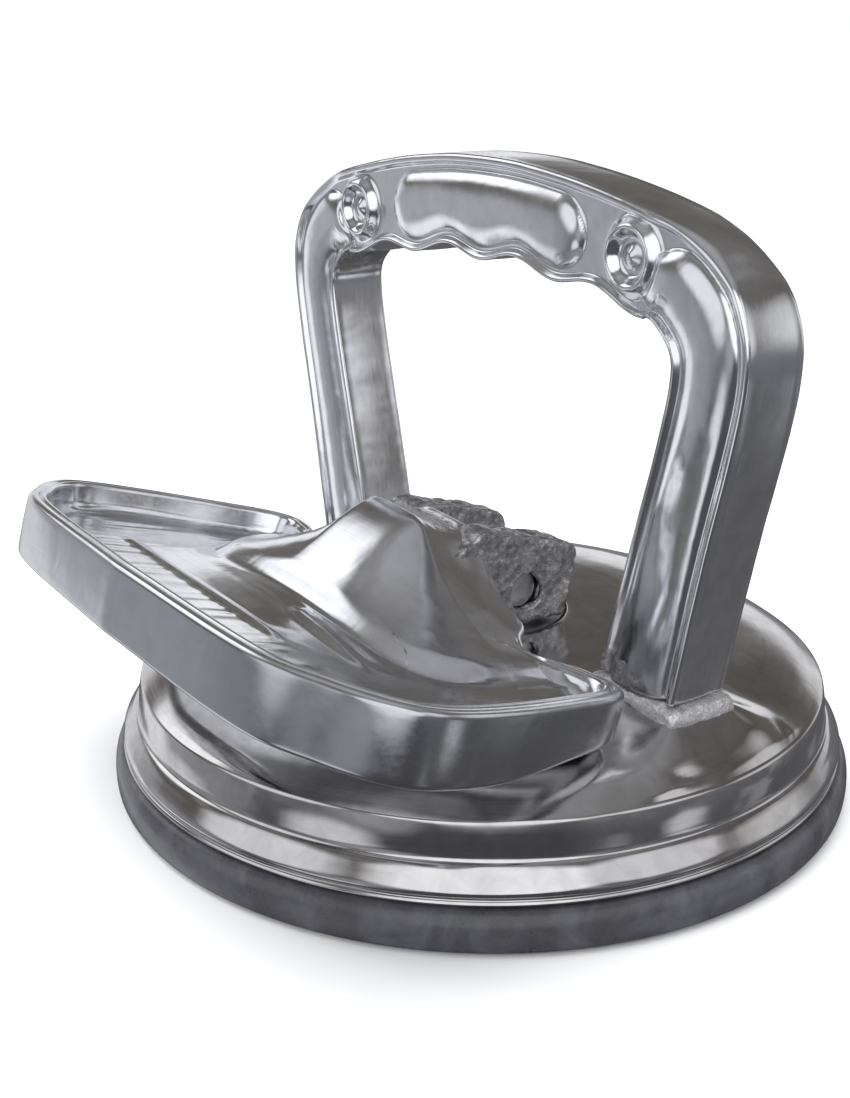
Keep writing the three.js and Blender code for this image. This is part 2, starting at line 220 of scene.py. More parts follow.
def turn_outward(mesh, weld=False):
    """Turns every face outward; weld first joins the points that coincide."""
    bm = bmesh.new()
    bm.from_mesh(mesh)
    if weld:
        bmesh.ops.remove_doubles(bm, verts=bm.verts, dist=1e-7)
    bmesh.ops.recalc_face_normals(bm, faces=bm.faces)
    bm.to_mesh(mesh)
    bm.free()


def mesh_from(name, rows, faces, material):
    """A smoothly shaded object from rows of points in millimetres."""
    mesh = bpy.data.meshes.new(name)
    mesh.from_pydata((np.vstack(rows) * MM).tolist(), [], faces)
    mesh.validate()
    turn_outward(mesh, weld=True)
    obj = linked(name, mesh, material)
    shade_smooth(obj)
    return obj


def merged(name, parts, material):
    """One object from several pairs of points in millimetres and faces."""
    verts, faces = [], []
    for v, f in parts:
        base = len(verts)
        verts += list(v)
        faces += [tuple(base + i for i in face) for face in f]
    mesh = bpy.data.meshes.new(name)
    mesh.from_pydata((np.asarray(verts, float) * MM).tolist(), [], faces)
    turn_outward(mesh)
    return linked(name, mesh, material)


def grid_faces(rows, columns, wrap_rows=False, wrap_columns=False):
    faces = []
    last_row = rows if wrap_rows else rows - 1
    last_column = columns if wrap_columns else columns - 1
    for i in range(last_row):
        a, b = i * columns, ((i + 1) % rows) * columns
        for j in range(last_column):
            k = (j + 1) % columns
            faces.append((a + j, a + k, b + k, b + j))
    return faces


def end_caps(rows, columns):
    """The two faces that close a tube made of rings of points."""
    last = (rows - 1) * columns
    return [tuple(range(columns))[::-1], tuple(range(last, last + columns))]


def lathe(profile, segments):
    """Rows of points from a profile of (radius, height) turned about Z."""
    a = turn(segments)
    return [stacked(r * np.cos(a), r * np.sin(a), z) for r, z in profile]


def rounded(points, radius, steps):
    """A closed polygon with its corners rounded, by one radius or by a list of them."""
    p = [np.array(q, float) for q in points]
    out = []
    n = len(p)
    for i in range(n):
        a, b, c = p[i - 1], p[i], p[(i + 1) % n]
        u, v = a - b, c - b
        lu, lv = np.linalg.norm(u), np.linalg.norm(v)
        r = min(radius[i] if isinstance(radius, list) else radius, 0.45 * lu, 0.45 * lv)
        s, e = b + u / lu * r, b + v / lv * r
        for t in np.linspace(0, 1, steps + 1):
            out.append((1 - t) ** 2 * s + 2 * t * (1 - t) * b + t * t * e)
    return np.array(out)


def prism(outline, low, high, axis):
    """Points and faces of an outline pushed along an axis.

    The outline is (y, z) for axis 0 and (x, y) for axis 2.
    """
    n = len(outline)

    def place(q, h):
        return (h, q[0], q[1]) if axis == 0 else (q[0], q[1], h)

    verts = [place(q, low) for q in outline] + [place(q, high) for q in outline]
    sides = [(i, (i + 1) % n, n + (i + 1) % n, n + i) for i in range(n)]
    return verts, end_caps(2, n) + sides


def per_point(obj, field):
    """Positions ("co") or normals ("normal") of an object's points."""
    values = np.zeros(len(obj.data.vertices) * 3)
    obj.data.vertices.foreach_get(field, values)
    return values.reshape(-1, 3)


def coords(obj):
    """Positions of an object's points, in millimetres."""
    return per_point(obj, "co") / MM


def paint(obj, name, values):
    """Stores a number at every point, for a material to read."""
    layer = obj.data.attributes.new(name, "FLOAT", "POINT")
    layer.data.foreach_set("value", np.asarray(values, np.float32))


def apply_modifiers(obj):
    graph = bpy.context.evaluated_depsgraph_get()
    graph.update()
    mesh = bpy.data.meshes.new_from_object(obj.evaluated_get(graph))
    old = obj.data
    obj.modifiers.clear()
    obj.data = mesh
    bpy.data.meshes.remove(old)


def melt(obj, voxel, rounds):
    """Joins overlapping solids into one cast skin with soft edges; voxel is in millimetres."""
    remesh = obj.modifiers.new("melt", "REMESH")
    remesh.mode = "VOXEL"
    remesh.voxel_size = voxel * MM
    soften = obj.modifiers.new("soften", "SMOOTH")
    soften.factor = 0.5
    soften.iterations = rounds
    apply_modifiers(obj)
    shade_smooth(obj)


def cut(obj, cutter):
    boolean = obj.modifiers.new("cut", "BOOLEAN")
    boolean.operation = "DIFFERENCE"
    boolean.solver = "EXACT"
    boolean.object = cutter
    apply_modifiers(obj)
    bpy.data.objects.remove(cutter)


def roughen(obj, amount, size, seed):
    """Moves each point along its normal by smooth noise; amount and size in millimetres."""
    offset = Vector((seed * 7.3, seed * 3.1, seed * 5.7))
    normals = per_point(obj, "normal")
    co = coords(obj)
    push = np.zeros(len(co))
    for k, point in enumerate(co):
        q = Vector(point) / size + offset
        push[k] = noise.noise(q) + 0.5 * noise.noise(q * 2.1) + 0.25 * noise.noise(q * 4.3)
    co += normals * (amount * push)[:, None]
    obj.data.vertices.foreach_set("co", (co * MM).ravel())
    obj.data.update()


# ---- materials ----
class Nodes:
    """A short way to write a node tree."""

    def __init__(self, tree):
        self.tree = tree
        tree.nodes.clear()

    def add(self, kind, **settings):
        node = self.tree.nodes.new(kind)
        inputs = settings.pop("inputs", {})
        for key, value in settings.items():
            setattr(node, key, value)
        for key, value in inputs.items():
            self.set(node, key, value)
        return node

    def set(self, node, key, value):
        socket = node.inputs[key]
        if isinstance(value, bpy.types.NodeSocket):
            self.tree.links.new(value, socket)
        elif isinstance(value, bpy.types.Node):
            self.tree.links.new(value.outputs[0], socket)
        else:
            socket.default_value = value

    def place(self):
        return self.add("ShaderNodeTexCoord").outputs["Object"]

    def painted(self, name):
        return self.add("ShaderNodeAttribute", attribute_name=name).outputs["Fac"]

    def math(self, operation, a, b, clamp=False):
        node = self.add("ShaderNodeMath", operation=operation, use_clamp=clamp)
        self.set(node, 0, a)
        self.set(node, 1, b)
        return node.outputs[0]

    def weighted(self, a, share_a, b, share_b):
        return self.math("ADD", self.math("MULTIPLY", a, share_a),
                         self.math("MULTIPLY", b, share_b))

    def dot(self, a, b):
        return self.add("ShaderNodeVectorMath", operation="DOT_PRODUCT",
                        inputs={0: a, 1: b}).outputs["Value"]

    def scaled(self, vector, factor):
        node = self.add("ShaderNodeMapping", inputs={"Vector": vector, "Scale": factor})
        return node.outputs[0]

    def noise(self, vector, scale, detail, roughness, distortion=0.0):
        return self.add("ShaderNodeTexNoise", inputs={
            "Vector": vector, "Scale": scale, "Detail": detail, "Roughness": roughness,
            "Distortion": distortion,
        }).outputs["Fac"]

    def span(self, value, low, high, to_low, to_high):
        return self.add("ShaderNodeMapRange", inputs={
            "Value": value, "From Min": low, "From Max": high, "To Min": to_low, "To Max": to_high,
        }).outputs[0]

    def ramp(self, value, stops):
        node = self.add("ShaderNodeValToRGB", inputs={"Fac": value})
        elements = node.color_ramp.elements
        while len(elements) < len(stops):
            elements.new(0.5)
        for element, (position, colour) in zip(elements, stops):
            element.position = position
            element.color = (*colour, 1)
        return node.outputs[0]

    def mix(self, factor, a, b):
        node = self.add("ShaderNodeMix", data_type="RGBA")
        self.set(node, 0, factor)
        self.set(node, 6, a if not isinstance(a, tuple) else (*a, 1))
        self.set(node, 7, b if not isinstance(b, tuple) else (*b, 1))
        return node.outputs[2]

    def lerp(self, factor, a, b):
        node = self.add("ShaderNodeMix", data_type="FLOAT")
        self.set(node, 0, factor)
        self.set(node, 2, a)
        self.set(node, 3, b)
        return node.outputs[0]


def new_material(name):
    material = bpy.data.materials.new(name)
    material.use_nodes = True
    nodes = Nodes(material.node_tree)
    out = nodes.add("ShaderNodeOutputMaterial")
    shader = nodes.add("ShaderNodeBsdfPrincipled")
    nodes.set(out, "Surface", shader)
    return material, nodes, shader


def bumped(nodes, shader, heights):
    """Chains bumps: each height is (value, strength, distance)."""
    normal = None
    for value, strength, distance in heights:
        inputs = {"Height": value, "Strength": strength, "Distance": distance}
        if normal is not None:
            inputs["Normal"] = normal
        normal = nodes.add("ShaderNodeBump", inputs=inputs).outputs[0]
    nodes.set(shader, "Normal", normal)


def polished_metal(name, stretch=(1, 1, 1), turned=False, light=(0.82, 0.83, 0.85),
                   dark=(0.72, 0.73, 0.76), gloss=(0.10, 0.24), cast=False, wave=0.10,
                   scratch=0.05):
    """Polished cast aluminium: shallow waves, buffing lines and faint stains.

    The lines run round Z if turned, or else are drawn out by stretch. With cast set, points
    painted "raw" show the rough casting, and points painted "dull" get painted shade: a darker
    base colour.
    """
    material, nodes, shader = new_material(name)
    place = nodes.place()
    if turned:
        parts = nodes.add("ShaderNodeSeparateXYZ", inputs={"Vector": place}).outputs
        flat = nodes.add("ShaderNodeCombineXYZ", inputs={"X": parts[0], "Y": parts[1]})
        radius = nodes.add("ShaderNodeVectorMath", operation="LENGTH", inputs={0: flat})
        lines_at = nodes.add("ShaderNodeCombineXYZ", inputs={
            "X": radius.outputs["Value"], "Z": parts[2]}).outputs[0]
    else:
        lines_at = nodes.scaled(place, stretch)
    waves = nodes.noise(place, 110, 2.0, 0.45, 0.6)
    lines = nodes.noise(lines_at, 1500, 2.0, 0.6)
    smudge = nodes.noise(place, 260, 3.0, 0.5, 0.8)
    clouds = nodes.noise(place, 45, 3.0, 0.5)
    shade = nodes.span(nodes.weighted(smudge, 0.6, clouds, 0.4), 0.35, 0.62, 0.0, 1.0)
    colour = nodes.mix(shade, dark, light)
    rough = nodes.span(nodes.weighted(clouds, 0.7, lines, 0.3), 0.38, 0.62, gloss[1], gloss[0])
    heights = [(waves, wave, 0.0015), (lines, scratch, 0.0001)]
    if cast:
        mask = nodes.painted("raw")
        grain = nodes.noise(place, 900, 5.0, 0.7)
        pits = nodes.add("ShaderNodeTexVoronoi", inputs={"Vector": place, "Scale": 700})
        speck = nodes.noise(place, 1500, 3.0, 0.6)
        edge = nodes.math("ADD", mask, nodes.span(smudge, 0.3, 0.7, -0.35, 0.35), clamp=True)
        edge = nodes.math("MULTIPLY", edge, nodes.span(mask, 0.02, 0.25, 0.0, 1.0), clamp=True)
        raw = nodes.ramp(nodes.lerp(0.5, grain, speck), [
            (0.32, (0.24, 0.235, 0.24)), (0.5, (0.42, 0.415, 0.43)), (0.66, (0.80, 0.80, 0.82)),
        ])
        # painted shade: where painted, the base colour goes up to 60% of the way to a darker grey
        painted_shade = nodes.math("MULTIPLY", nodes.painted("painted_shade"), 0.6)
        colour = nodes.mix(painted_shade, colour, (0.34, 0.345, 0.37))
        colour = nodes.mix(edge, colour, raw)
        rough = nodes.lerp(edge, rough, nodes.span(speck, 0.35, 0.65, 0.55, 0.25))
        pitted = nodes.math("ADD", grain, pits.outputs["Distance"])
        heights.append((nodes.math("MULTIPLY", pitted, edge), 0.5, 0.0005))
    nodes.set(shader, "Base Color", colour)
    nodes.set(shader, "Metallic", 1.0)
    nodes.set(shader, "Roughness", rough)
    bumped(nodes, shader, heights)
    return material


def raw_metal(name, light, dark, rough):
    """Aluminium as it leaves the mould."""
    material, nodes, shader = new_material(name)
    place = nodes.place()
    grain = nodes.noise(place, 1100, 5.0, 0.7)
    speck = nodes.noise(place, 2600, 2.0, 0.5)
    colour = nodes.ramp(nodes.lerp(0.5, grain, speck), [(0.36, dark), (0.64, light)])
    nodes.set(shader, "Base Color", colour)
    nodes.set(shader, "Metallic", 0.9)
    nodes.set(shader, "Roughness", nodes.span(speck, 0.35, 0.65, rough[1], rough[0]))
    bumped(nodes, shader, [(grain, 0.5, 0.0004), (speck, 0.3, 0.0002)])
    return material


def turned_metal(name, light, dark, rough):
    """Machined metal with fine tool lines across its length."""
    material, nodes, shader = new_material(name)
    place = nodes.place()
    lines = nodes.noise(nodes.scaled(place, (0.08, 0.08, 1)), 1800, 2.0, 0.6)
    stain = nodes.noise(place, 300, 4.0, 0.6)
    wear = nodes.lerp(0.5, lines, stain)
    nodes.set(shader, "Base Color", nodes.mix(nodes.span(stain, 0.35, 0.65, 0, 1), dark, light))
    nodes.set(shader, "Metallic", 1.0)
    nodes.set(shader, "Roughness", nodes.span(wear, 0.35, 0.65, rough[0], rough[1]))
    bumped(nodes, shader, [(lines, 0.2, 0.0002)])
    return material


def moulded(name, light, dark, rough, grain_scale, bump):
    """Rubber or nylon straight from the mould."""
    material, nodes, shader = new_material(name)
    place = nodes.place()
    dust = nodes.noise(place, 150, 5.0, 0.65, 0.5)
    grain = nodes.noise(place, grain_scale, 3.0, 0.6)
    wear = nodes.lerp(0.4, dust, grain)
    nodes.set(shader, "Base Color", nodes.mix(nodes.span(dust, 0.42, 0.68, 0, 1), dark, light))
    nodes.set(shader, "Roughness", nodes.span(wear, 0.35, 0.65, rough[0], rough[1]))
    bumped(nodes, shader, [(dust, 0.05, 0.001), (grain, bump, 0.0002)])
    return material


ALUMINIUM_LEVER = polished_metal(
    "lever_aluminium", stretch=(0.05, 1, 1), cast=True, wave=0.06, scratch=0.03)
ALUMINIUM_HANDLE = polished_metal(
    "handle_aluminium", stretch=(1, 1, 0.05), cast=True, wave=0.035)
ALUMINIUM_HOUSING = polished_metal(
    "housing_aluminium", turned=True, gloss=(0.07, 0.20), wave=0.04, scratch=0.02,
    light=(0.62, 0.612, 0.615), dark=(0.50, 0.488, 0.482))
ALUMINIUM_RAW = polished_metal("raw_casting", cast=True)
PALE_CASTING = raw_metal("pale_casting", (0.86, 0.85, 0.86), (0.52, 0.51, 0.53), (0.25, 0.5))
STEEL = turned_metal("turned_steel", (0.62, 0.62, 0.63), (0.42, 0.42, 0.44), (0.22, 0.42))
BRONZE = turned_metal("sintered_bronze", (0.62, 0.42, 0.20), (0.40, 0.26, 0.12), (0.35, 0.55))
NYLON = moulded("nylon", (0.78, 0.77, 0.72), (0.66, 0.64, 0.58), (0.45, 0.6), 900, 0.1)
RUBBER = moulded(
    "pad_rubber", (0.085, 0.086, 0.098), (0.045, 0.045, 0.052), (0.24, 0.42), 1400, 0.12)


# ---- rubber pad ----
def build_pad():
    """The pad, with two sealing grooves below and the recess for the insert above."""
    groove = [(0, 0), (0.35, 0.25), (0.6, 1.2), (2.4, 1.2), (2.65, 0.25), (3, 0)]
    edge = [(57.4, 0), (58.75, 0.7), (59, 2.6), (58.8, 4.8), (57.9, 6.2), (56.4, PAD_TOP)]
    profile = [(0, 0), (20, 0), (43.6, 0)]
    for inner in (44.0, 50.5):
        profile += [(inner + across, depth) for across, depth in groove]
    profile += [tuple(q) for q in rounded(edge, [0.5, 0.8, 1.5, 1, 0.8, 0.4], 5)]
    profile += [(48, PAD_TOP), (38.6, PAD_TOP), (38.0, 6.45), (36.9, 5.15)]
    profile += [(r, PAD_RECESS) for r in (36.3, 18, 0)]
    segments = 224
    faces = grid_faces(len(profile), segments, wrap_rows=True, wrap_columns=True)
    return mesh_from("rubber_pad_skin", lathe(profile, segments), faces, RUBBER)


# ---- housing ----
SMOOTH_DOME = catmull(DOME_PROFILE, 12)


def dome(x, y):
    """Top of the housing: the turned dome, with a smooth swell up to each foot of the handle."""
    foot_half_x, foot_half_y = 7.4, 4.4
    r = np.hypot(x, y)
    top = np.interp(r, SMOOTH_DOME[:, 0], SMOOTH_DOME[:, 1])
    outward = np.maximum(np.abs(np.abs(x) - FOOT_X) - foot_half_x, 0)
    beyond = np.hypot(outward, 0.62 * np.maximum(np.abs(y - HANDLE_Y) - foot_half_y, 0))
    swell = 24.9 - 0.62 * beyond - 0.03 * beyond ** 2
    edge_drop = 0.55 * smooth(50.5, 53.6, r) * smooth(0, 0.6, swell - top)
    return soft_max(swell, top, 2.2) - edge_drop


def build_housing():
    segments = 420
    a = turn(segments)
    rows = lathe(catmull(FLANK_PROFILE, 5), segments)
    for r in np.concatenate([np.linspace(53.4, 30, 62), np.linspace(29, 14.1, 14)]):
        x, y = r * np.cos(a), r * np.sin(a)
        rows.append(stacked(x, y, dome(x, y)))
    rows += lathe(UNDERSIDE_PROFILE, segments)
    faces = grid_faces(len(rows), segments, wrap_rows=True, wrap_columns=True)
    return mesh_from("housing_shell", rows, faces, ALUMINIUM_HOUSING)


def build_land(side):
    """The strip of rough casting round one foot of the handle."""
    half_x, half_y = 8.3, 5.65
    squareness = 9
    a = turn(96)
    c, s = np.cos(a), np.sin(a)
    k = (np.abs(c) ** squareness + np.abs(s) ** squareness) ** (-1 / squareness)
    rows = []
    for grow, z in [(1.0, 21.5), (0.95, 24.0), (0.8, 24.7), (0.55, 25.2), (0.25, 25.6),
                    (-0.1, 25.85), (-0.6, 26.0)]:
        x, y = k * c * (half_x + grow), k * s * (half_y + grow)
        rows.append(stacked(x + side * FOOT_X, y + HANDLE_Y, z))
    faces = grid_faces(len(rows), len(a), wrap_columns=True) + end_caps(len(rows), len(a))
    name = "foot_land_" + ("right" if side > 0 else "left")
    land = merged(name, [(np.vstack(rows), faces)], PALE_CASTING)
    melt(land, 0.3, 2)
    roughen(land, 0.20, 1.4, 3 + side)
    return land


# ---- handle ----
def grip_underside(x):
    """Height of the grip's lower edge, with finger grooves 17 mm apart."""
    return 81.7 - 0.0026 * x * x + 0.8 * np.cos(2 * np.pi * (x - 8.5) / 17)


def at_length(rail, along, at):
    return stacked(*[np.interp(at, along, column) for column in rail.T])


def handle_rails(count):
    """Matching points on the outer and the inner edge of the arch, from the right foot on."""
    outer = catmull(mirrored(OUTER), 24)
    grip_x = np.linspace(36, 0, 120)
    grip = stacked(grip_x, grip_underside(grip_x))
    inner = mirrored(np.vstack([catmull(INNER_LEG, 24)[:-1], grip]))
    along_outer, along_inner = lengths(outer), lengths(inner)

    def knots(rail, along, points):
        half = rail[:len(rail) // 2 + 1]
        found = [along[np.argmin(((half - point) ** 2).sum(1))] for point in points]
        return found + [along[-1] - k for k in found[-2::-1]]

    knots_outer = knots(outer, along_outer, [o for o, _ in OPPOSITE])
    knots_inner = knots(inner, along_inner, [i for _, i in OPPOSITE])

    # the points lie closer together beside the bosses
    fine = np.linspace(0, knots_outer[-1], 4000)
    x, z = at_length(outer, along_outer, fine).T
    near_boss = np.exp(-((np.abs(x) - 34) / 7) ** 2) * (z > 75)
    density = np.cumsum(1 + 1.6 * near_boss)
    at = np.interp(np.linspace(density[0], density[-1], count), density, fine)

    to = np.interp(at, knots_outer, knots_inner)
    kernel = np.hanning(31)
    kernel /= kernel.sum()
    padded = np.concatenate([2 * to[0] - to[15:0:-1], to, 2 * to[-1] - to[-2:-17:-1]])
    to = np.convolve(padded, kernel, "valid")
    return at_length(outer, along_outer, at), at_length(inner, along_inner, to)


def pillow(q, power):
    """Height of a rounded cushion: 1 in its middle at q = 0 and 0 at its edge at q = 1."""
    return np.maximum(1 - np.clip(q, 0, 1) ** power, 0) ** 0.72


def face_relief(x, z, across, width, front):
    """How far a face of the handle stands proud of its plane, in millimetres."""
    rim = 1 - smooth(1.0, 1.7, across)
    inner_rim = 1 - smooth(0.7, 1.3, width - across)
    level = PANEL - PANEL * rim + 0.75 * inner_rim
    outer_margin, inner_margin, bead_height = 2.4, 1.8, 1.75
    centre = 0.5 * (outer_margin + width - inner_margin)
    half = 0.5 * (width - inner_margin - outer_margin)
    lateral = (across - centre) / half

    def bead(beyond, here, power):
        """A cushion across the panel, rounded off beyond its end and only where here is true."""
        return pillow(np.where(here, np.sqrt(beyond ** 2 + lateral ** 2), 9), power)

    grip = bead(np.maximum(np.abs(x) - (23.4 - half), 0) / half, z > 70, 2.4)
    # the bead of each leg starts beside the boss
    along = (38.6 - np.abs(x)) * 0.80 + (z - 85.0) * 0.6
    on_leg = (np.abs(x) > 28) | (z < 76)
    leg = bead(np.maximum(along + half * 0.62, 0) / half, on_leg, 2.2)
    rise = level + bead_height * np.maximum(grip, leg)
    if front:
        d = np.hypot(np.abs(x) - BOSS[0], z - BOSS[1])
        bowl = 1 - smooth(4.6, 6.0, d)
        ring = np.exp(-((d - 3.95) / 1.0) ** 2)
        stud = np.exp(-(d / 1.45) ** 2)
        rise = rise * (1 - bowl) + bowl * PANEL + ring * 1.75 + stud
    return np.clip(rise, -1.4, 0.88)


def build_handle():
    """The arch as loops of points that run from foot to foot, laid round its section."""
    count = 640
    o, i = handle_rails(count)
    width = np.linalg.norm(o - i, axis=1)
    across_unit = (i - o) / width[:, None]
    from_shoulder = np.hypot(np.abs(o[:, 0]) - 46.5, o[:, 1] - 88)
    outer_edge_r = 0.7 + 1.5 * np.exp(-(from_shoulder / 7.5) ** 2)
    face_steps = np.concatenate([
        np.linspace(0, 0.26, 17)[:-1], np.linspace(0.26, 0.80, 20)[:-1], np.linspace(0.80, 1, 14)])
    loops = []

    def put(start, inset, y):
        """Adds a loop set in from the outer or the inner edge, toward the other."""
        p = start + across_unit * np.broadcast_to(inset, count)[:, None]
        loops.append(stacked(p[:, 0], y, p[:, 1]))

    def face(y_plane, sign, front, steps):
        for t in steps:
            across = outer_edge_r + t * (width - outer_edge_r - INNER_EDGE_R)
            p = o + across_unit * across[:, None]
            rise = face_relief(p[:, 0], p[:, 1], across, width, front)
            put(o, across, y_plane - sign * rise)

    def corner(outer_side, y_plane, sign, angles):
        radius = outer_edge_r if outer_side else INNER_EDGE_R
        for a in angles:
            inset = radius * (1 - math.cos(a))
            y = y_plane + sign * radius * (1 - math.sin(a))
            put(o, inset if outer_side else width - inset, y)

    def side(outer_side, y_from, y_to):
        crown = 0.12 if outer_side else -0.1
        for t in np.linspace(0, 1, 9):
            y = y_from + (y_to - y_from) * t
            put(o if outer_side else i, crown * (2 * t - 1) ** 2, y)

    rising = np.linspace(0, math.pi / 2, 5)[1:-1]
    falling = rising[::-1]
    face(FRONT_Y, 1, True, face_steps)
    corner(False, FRONT_Y, 1, falling)
    side(False, FRONT_Y + INNER_EDGE_R, BACK_Y - INNER_EDGE_R)
    corner(False, BACK_Y, -1, rising)
    face(BACK_Y, -1, False, face_steps[::-1][::2])
    corner(True, BACK_Y, -1, falling)
    side(True, BACK_Y - outer_edge_r, FRONT_Y + outer_edge_r)
    corner(True, FRONT_Y, 1, rising)

    starts = range(0, len(loops) * count, count)
    feet = [tuple(starts), tuple(k + count - 1 for k in starts)[::-1]]
    faces = grid_faces(len(loops), count, wrap_rows=True) + feet
    obj = mesh_from("arch_handle", loops, faces, ALUMINIUM_HANDLE)
    x, _, z = coords(obj).T
    low = (1 - smooth(26.6, 31.5, z)) * (1 - smooth(36, 42, np.abs(x)))
    inner_corner = np.exp(-((np.abs(x) - 37.5) / 3.2) ** 2 - ((z - 76.5) / 3.0) ** 2)
    paint(obj, "raw", np.clip(low * 0.8 + inner_corner * 0.6, 0, 1))
    roughen(obj, 0.035, 6.0, 11)
    return obj


# ---- lever, drawn level with its pin at the origin; f is the distance forward, toward -Y ----
CREST = catmull(CREST_PROFILE, 8)


def rib(x, f, at, height, left, right):
    """A low rib along X, faded in over the span left and out over the span right."""
    return (height * np.exp(-((f - at) / 0.7) ** 2)
            * smooth(*left, x) * (1 - smooth(*right, x)))


def tray_floor(x, f, relief=True):
    """Height of the tray's floor and hump; relief adds the hollow, step, ribs and ripples."""
    over_dome = housing_top(np.hypot(x, f)) + 0.7 - HINGE_Z - STEM_TRAVEL + FLOOR_T
    floor = soft_max(over_dome, RIM - TRAY_DEPTH, 0.5)
    t = np.clip((f - CREST_AT) / 18, 0, 1)
    rise = (1 - t) ** 2 * (1 + 1.5 * t)
    ridge = np.interp(x - 1.6, CREST[:, 0], CREST[:, 1])
    toward_crest = 1 - smooth(20.5, 35, f)
    across = np.exp(-x * x / 390) * (1 - toward_crest) + ridge * toward_crest
    z = floor + (PEAK - floor) * rise * across
    if relief:
        hollow = np.sin(np.pi * np.clip((CREST_AT - f) / 13, 0, 1))
        z = z - hollow * (1 - smooth(24, 32, np.abs(x))) * (f < CREST_AT)
        # a step with a thin groove round the foot of the hump
        skirt = ((np.abs(x) / 34.5) ** 4 + (np.maximum(f - 8, 0) / 25.5) ** 4) ** 0.25
        groove = 0.35 * np.exp(-((skirt - 1.055) / 0.03) ** 2)
        z = z + 0.75 * (1 - smooth(0.955, 1.03, skirt)) - groove
        z = z + rib(x, f, 44.6, 0.55, (-36, -32), (12, 17))
        near_wall = smooth(44.5, 46.5, np.maximum(f, np.abs(x) * 1.08 + 4))
        ripple = np.sin(x * 1.15 + 1.3 * np.sin(x * 0.41 + 0.1 * f))
        ripple = ripple + 0.5 * np.sin(x * 2.1 + 1.4 * np.sin(0.37 * x) - 0.12 * f)
        z = z + 0.035 * ripple * near_wall
        z = z + rib(x, f, 37.6, 0.5, (5, 9), (25, 29))
    return z


def tray_loop(half):
    """Outline of the tray: the front half from left to right, then the rear half back."""
    side = catmull(TRAY_SIDE, 24)
    full = np.vstack([(side * [-1, 1])[::-1], side[1:]])
    widest = np.argmax(full[:, 0])
    front = full[len(full) - 1 - widest:widest + 1]
    rear = np.vstack([full[widest:], mirrored(REAR_EDGE), full[:len(full) - widest]])
    loop = np.vstack([resample(front, half + 1)[:-1], resample(rear, half + 1)[:-1]])
    return blur_loop(loop, 2.2)


def inward_steps(loop, core):
    """For each point of the outline, the step that leads 1 mm into the tray."""
    tangent = unit(np.roll(loop, -1, 0) - np.roll(loop, 1, 0))
    normal = stacked(tangent[:, 1], -tangent[:, 0])
    normal = np.where(((core - loop) * normal).sum(1)[:, None] < 0, -normal, normal)
    at_rear = 0.75 * (1 - smooth(10, 24, loop[:, 1]))[:, None]
    aim = unit(blur_loop(normal * (1 - at_rear) + unit(core - loop) * at_rear, 7))
    stretch = 1 / np.clip((aim * blur_loop(normal, 3)).sum(1), 0.6, 1)
    return aim * blur_loop(stretch, 5)[:, None]


